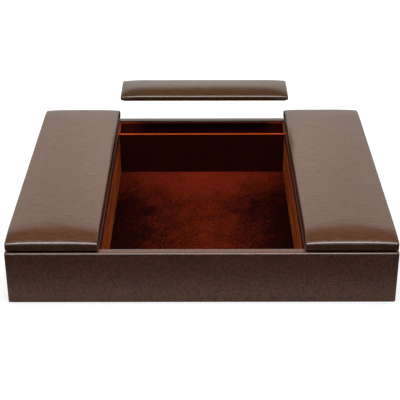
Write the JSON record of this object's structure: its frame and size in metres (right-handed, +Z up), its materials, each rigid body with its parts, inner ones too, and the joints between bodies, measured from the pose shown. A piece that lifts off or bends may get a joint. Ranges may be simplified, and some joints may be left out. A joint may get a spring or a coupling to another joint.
{
  "type": "desk organizer with lift lid",
  "caption": "Low leatherette-wrapped desk organizer box with an open suede-lined tray, hinged padded side lids and a lift-off padded strip lid over a rear slot.",
  "frame": {"origin": "middle of the underside, on the table", "axes": "+X to the right along the width, +Y to the back, +Z up"},
  "size_m": [0.4414, 0.38, 0.1241],
  "materials": {
    "leatherette": "fine-grained satin leatherette, dark brown",
    "suede": "rust-brown suede lining on card",
    "felt": "dark felt",
    "foam": "soft upholstery foam",
    "hinge_metal": "satin brass",
    "board": "raw fibreboard"
  },
  "bodies": {
    "base": {"back_wall_board": "board", "base_board": "board", "base_felt": "felt", "base_wrap": "leatherette", "front_wall_board": "board", "left_bay_back_lining": "suede", "left_bay_floor_lining": "suede", "left_bay_front_lining": "suede", "left_bay_left_lining": "suede", "left_bay_right_lining": "suede", "left_hinge_base_leaves": "hinge_metal", "left_hinge_base_screws": "hinge_metal", "left_hinge_pins": "hinge_metal", "left_partition_board": "board", "left_partition_wrap": "leatherette", "left_wall_board": "board", "right_bay_back_lining": "suede", "right_bay_floor_lining": "suede", "right_bay_front_lining": "suede", "right_bay_left_lining": "suede", "right_bay_right_lining": "suede", "right_hinge_base_leaves": "hinge_metal", "right_hinge_base_screws": "hinge_metal", "right_hinge_pins": "hinge_metal", "right_partition_board": "board", "right_partition_wrap": "leatherette", "right_wall_board": "board", "slot_back_lining": "suede", "slot_divider": "suede", "slot_floor_lining": "suede", "slot_left_lining": "suede", "slot_right_lining": "suede", "tray_floor_lining": "suede", "tray_front_lining": "suede", "tray_left_lining": "suede", "tray_right_lining": "suede"},
    "left_lid": {"left_hinge_lid_leaves": "hinge_metal", "left_hinge_lid_screws": "hinge_metal", "left_lid_board": "board", "left_lid_lining": "suede", "left_lid_pad": "foam", "left_lid_wrap": "leatherette"},
    "right_lid": {"right_hinge_lid_leaves": "hinge_metal", "right_hinge_lid_screws": "hinge_metal", "right_lid_board": "board", "right_lid_lining": "suede", "right_lid_pad": "foam", "right_lid_wrap": "leatherette"},
    "strip_lid": {"strip_board": "board", "strip_pad": "foam", "strip_plug": "suede", "strip_wrap": "leatherette"}
  },
  "joints": [
    {"name": "left_lid_hinge", "type": "hinge", "parent": "base", "child": "left_lid", "pos_m": [-0.2195, 0, 0.0653], "axis": [0, -1, 0], "range_deg": [0, 175]},
    {"name": "right_lid_hinge", "type": "hinge", "parent": "base", "child": "right_lid", "pos_m": [0.2195, 0, 0.0653], "axis": [0, 1, 0], "range_deg": [0, 175]},
    {"name": "strip_lid_lift", "type": "slide", "parent": "base", "child": "strip_lid", "axis": [0.0695, 0, 0.9976], "range_m": [-0.05037, 0]}
  ]
}
